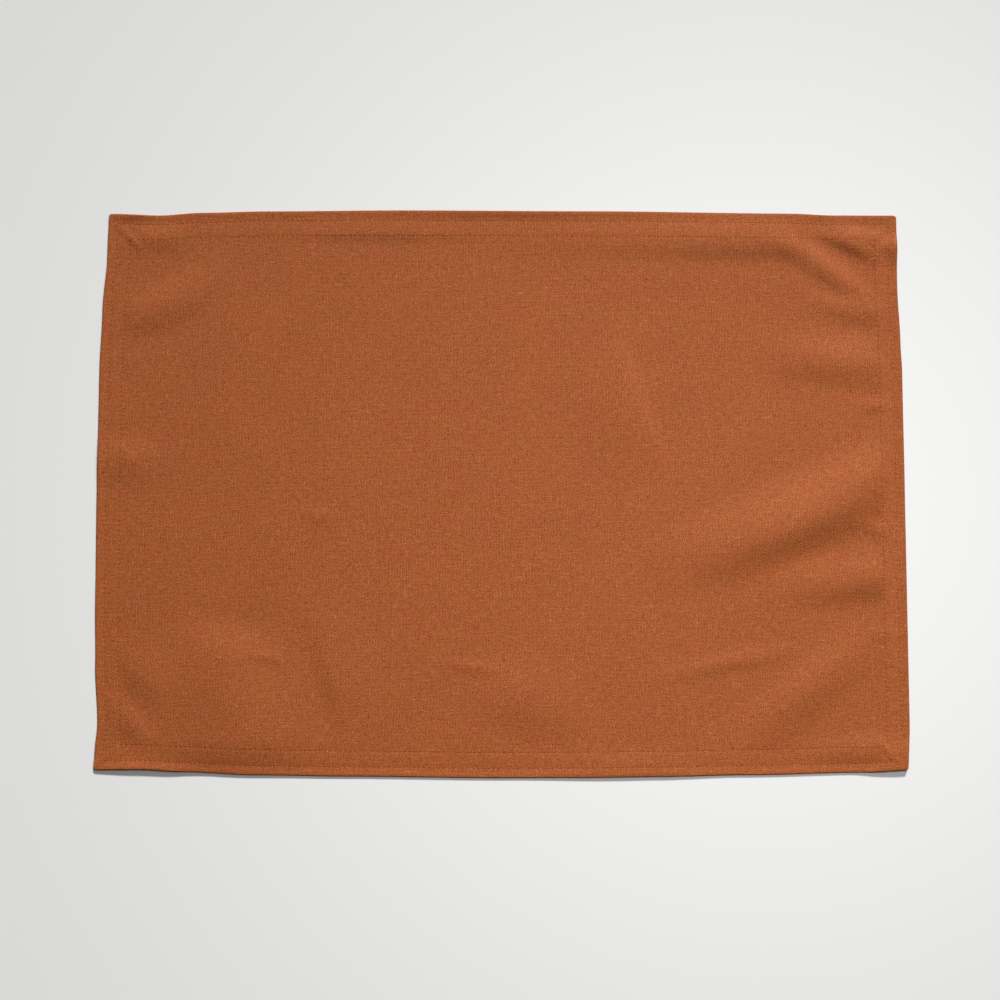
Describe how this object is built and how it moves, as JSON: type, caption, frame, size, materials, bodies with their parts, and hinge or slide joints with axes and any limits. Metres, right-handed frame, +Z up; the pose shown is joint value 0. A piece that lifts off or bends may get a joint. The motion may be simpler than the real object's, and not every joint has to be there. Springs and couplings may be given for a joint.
{
  "type": "placemat",
  "caption": "Rectangular hemmed cotton placemat lying flat, with soft folds towards one end and a wider, thicker hem band all round.",
  "frame": {"origin": "middle of the mat's outline, on the surface that it lies on", "axes": "+X along the long side, +Y along the short side, +Z up out of the cloth's right side"},
  "size_m": [0.5004, 0.3534, 0.0064],
  "materials": {
    "cloth": "matt plain-woven rust cotton with topstitched hem"
  },
  "bodies": {
    "root": {"placemat": "cloth"}
  },
  "joints": []
}
